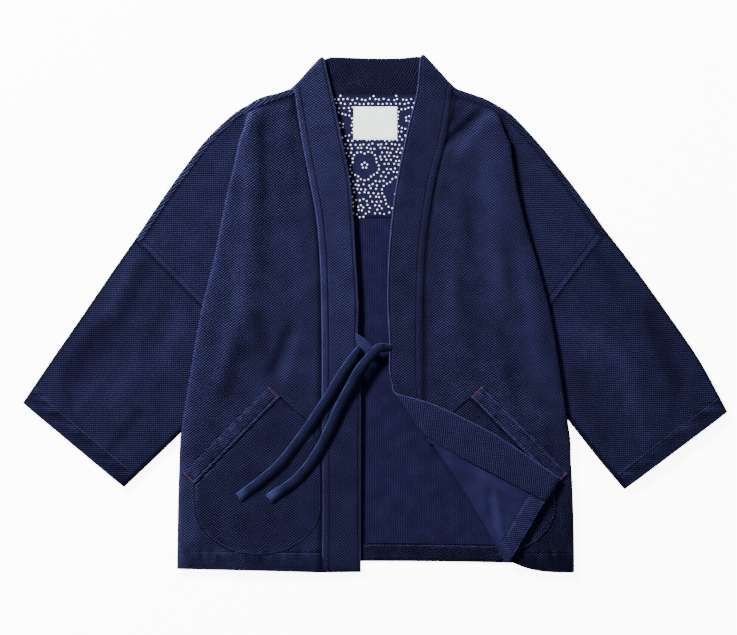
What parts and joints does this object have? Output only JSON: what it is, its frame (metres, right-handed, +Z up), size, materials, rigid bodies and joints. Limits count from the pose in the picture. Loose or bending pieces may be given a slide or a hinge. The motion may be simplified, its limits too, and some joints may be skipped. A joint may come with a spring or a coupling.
{
  "type": "work jacket",
  "caption": "Indigo sashiko work jacket laid flat on its back, open in front, with a collar band, wide sleeves, bound patch pockets, front ties and one lower front corner turned out.",
  "frame": {"origin": "centre of the jacket's overall box, at the height of the surface it lies on", "axes": "+X towards the wearer's left sleeve, +Y from hem to collar, +Z up from the surface through the fronts"},
  "size_m": [1.0588, 0.7787, 0.025],
  "materials": {
    "sashiko": "matte thick cotton, indigo-dyed, rice-grain weave",
    "lining": "matte plain-weave cotton, printed with small white dots",
    "label": "matte woven tape, pale, left bare"
  },
  "bodies": {
    "root": {"back": "sashiko", "front_right": "sashiko", "front_left": "sashiko", "sleeve_right": "sashiko", "sleeve_left": "sashiko", "collar_band": "sashiko", "pocket_right": "sashiko", "pocket_binding_right": "sashiko", "pocket_left": "sashiko", "pocket_binding_left": "sashiko", "corner_hem": "sashiko", "back_hem": "sashiko", "yoke_lining": "lining", "label": "label", "tie_right": "sashiko", "tie_left": "sashiko", "knot": "sashiko"}
  },
  "joints": []
}
